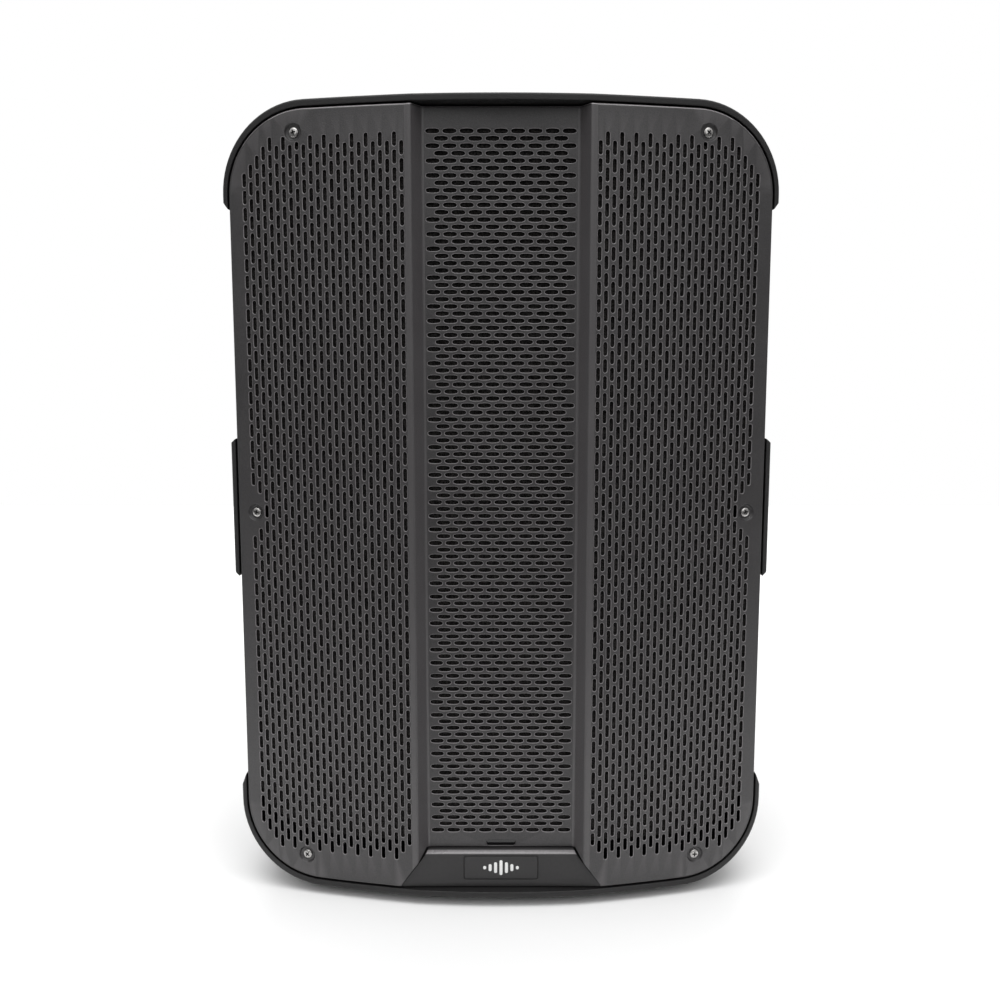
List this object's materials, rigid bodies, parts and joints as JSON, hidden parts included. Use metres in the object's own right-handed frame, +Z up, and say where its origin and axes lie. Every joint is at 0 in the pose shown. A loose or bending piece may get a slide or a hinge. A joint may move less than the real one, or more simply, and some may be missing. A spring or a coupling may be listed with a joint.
{
  "type": "pa speaker cabinet",
  "caption": "Two-way powered PA loudspeaker in a moulded cabinet, with a bowed slotted steel grille, carrying handles, pole socket and amplifier panel.",
  "frame": {"origin": "on the floor under the middle of the cabinet", "axes": "+Z up, the front faces -Y, +X to the right as seen from the front"},
  "size_m": [0.45, 0.37, 0.66],
  "materials": {
    "shell": "fine moulded texture",
    "grille": "satin powder coat",
    "foam": "open-cell foam",
    "trim": "satin",
    "badge": "satin",
    "lens": "smoked gloss",
    "screw": "nickel plated",
    "rubber": "matt",
    "steel": "zinc plated",
    "basket": "satin",
    "paper": "pressed pulp",
    "cloth": "resin treated",
    "former": "polyimide",
    "ferrite": "ceramic magnet",
    "horn": "fine texture",
    "aluminium": "black anodised",
    "panel": "satin",
    "board": "solder mask",
    "socket": "satin",
    "knob": "soft touch",
    "button": "satin",
    "rocker": "gloss",
    "wire": "sleeve"
  },
  "bodies": {
    "cabinet": {"front_shell": "shell", "rear_shell": "shell", "grille": "grille", "grille_foam": "foam", "name_plate": "trim", "badge": "badge", "indicator_light_bar": "lens", "grille_screw_top_left": "screw", "grille_screw_top_right": "screw", "grille_screw_side_left": "screw", "grille_screw_side_right": "screw", "grille_screw_bottom_left": "screw", "grille_screw_bottom_right": "screw", "side_handle_left": "trim", "side_handle_right": "trim", "top_handle": "trim", "pole_cup": "trim", "foot_front_left": "rubber", "foot_front_right": "rubber", "foot_rear_left": "rubber", "foot_rear_right": "rubber", "rigging_insert_top_left": "steel", "rigging_insert_top_right": "steel", "rigging_insert_rear": "steel", "woofer_gasket": "foam", "woofer_frame": "basket", "woofer_surround": "rubber", "woofer_spider": "cloth", "woofer_top_plate": "steel", "woofer_magnet": "ferrite", "woofer_yoke": "steel", "horn": "horn", "compression_driver": "ferrite", "driver_cap": "horn", "port_tube_left": "horn", "port_tube_right": "horn", "amp_plate": "panel", "amp_gasket": "foam", "heatsink": "aluminium", "amp_board": "board", "control_board": "board", "mains_inlet": "socket", "combo_input_1": "socket", "combo_input_2": "socket", "link_output": "socket", "wiring_loom": "wire"},
    "gain_knob_1_body": {"gain_knob_1": "knob"},
    "gain_knob_2_body": {"gain_knob_2": "knob"},
    "treble_knob_body": {"treble_knob": "knob"},
    "bass_knob_body": {"bass_knob": "knob"},
    "rocker_body": {"power_rocker": "rocker"},
    "fuse_drawer_body": {"fuse_drawer": "socket"},
    "latch_1_body": {"latch_tab_1": "button"},
    "latch_2_body": {"latch_tab_2": "button"},
    "mic_line_1_body": {"mic_line_button_1": "button"},
    "mic_line_2_body": {"mic_line_button_2": "button"},
    "cone_assembly": {"woofer_cone": "paper", "dust_cap": "paper", "voice_coil": "former"},
    "diaphragm_body": {"hf_diaphragm": "former"}
  },
  "joints": [
    {"name": "gain_knob_1_turn", "type": "hinge", "parent": "cabinet", "child": "gain_knob_1_body", "pos_m": [0.075, 0.1671, 0.327], "axis": [0, 1, 0], "range_deg": [-150, 150]},
    {"name": "gain_knob_2_turn", "type": "hinge", "parent": "cabinet", "child": "gain_knob_2_body", "pos_m": [0.025, 0.1671, 0.327], "axis": [0, 1, 0], "range_deg": [-150, 150]},
    {"name": "treble_knob_turn", "type": "hinge", "parent": "cabinet", "child": "treble_knob_body", "pos_m": [-0.025, 0.1671, 0.327], "axis": [0, 1, 0], "range_deg": [-150, 150]},
    {"name": "bass_knob_turn", "type": "hinge", "parent": "cabinet", "child": "bass_knob_body", "pos_m": [-0.075, 0.1671, 0.327], "axis": [0, 1, 0], "range_deg": [-150, 150]},
    {"name": "power_rocker_tip", "type": "hinge", "parent": "cabinet", "child": "rocker_body", "pos_m": [0.06, 0.1666, 0.195], "axis": [1, 0, 0], "range_deg": [0, 16]},
    {"name": "fuse_drawer_slide", "type": "slide", "parent": "cabinet", "child": "fuse_drawer_body", "axis": [0, 1, 0], "range_m": [0, 0.02]},
    {"name": "latch_1_press", "type": "slide", "parent": "cabinet", "child": "latch_1_body", "axis": [0, -1, 0], "range_m": [0, 0.0014], "stiffness_N_per_m": 200},
    {"name": "mic_line_1_press", "type": "slide", "parent": "cabinet", "child": "mic_line_1_body", "axis": [0, -1, 0], "range_m": [0, 0.002], "stiffness_N_per_m": 200},
    {"name": "latch_2_press", "type": "slide", "parent": "cabinet", "child": "latch_2_body", "axis": [0, -1, 0], "range_m": [0, 0.0014], "stiffness_N_per_m": 200},
    {"name": "mic_line_2_press", "type": "slide", "parent": "cabinet", "child": "mic_line_2_body", "axis": [0, -1, 0], "range_m": [0, 0.002], "stiffness_N_per_m": 200},
    {"name": "cone_travel", "type": "slide", "parent": "cabinet", "child": "cone_assembly", "axis": [0, -1, 0], "range_m": [-0.006, 0.006], "stiffness_N_per_m": 6000, "deforming": ["woofer_surround", "woofer_spider"]},
    {"name": "diaphragm_travel", "type": "slide", "parent": "cabinet", "child": "diaphragm_body", "axis": [0, 1, 0], "range_m": [-0.0003, 0.0003], "stiffness_N_per_m": 4000}
  ]
}
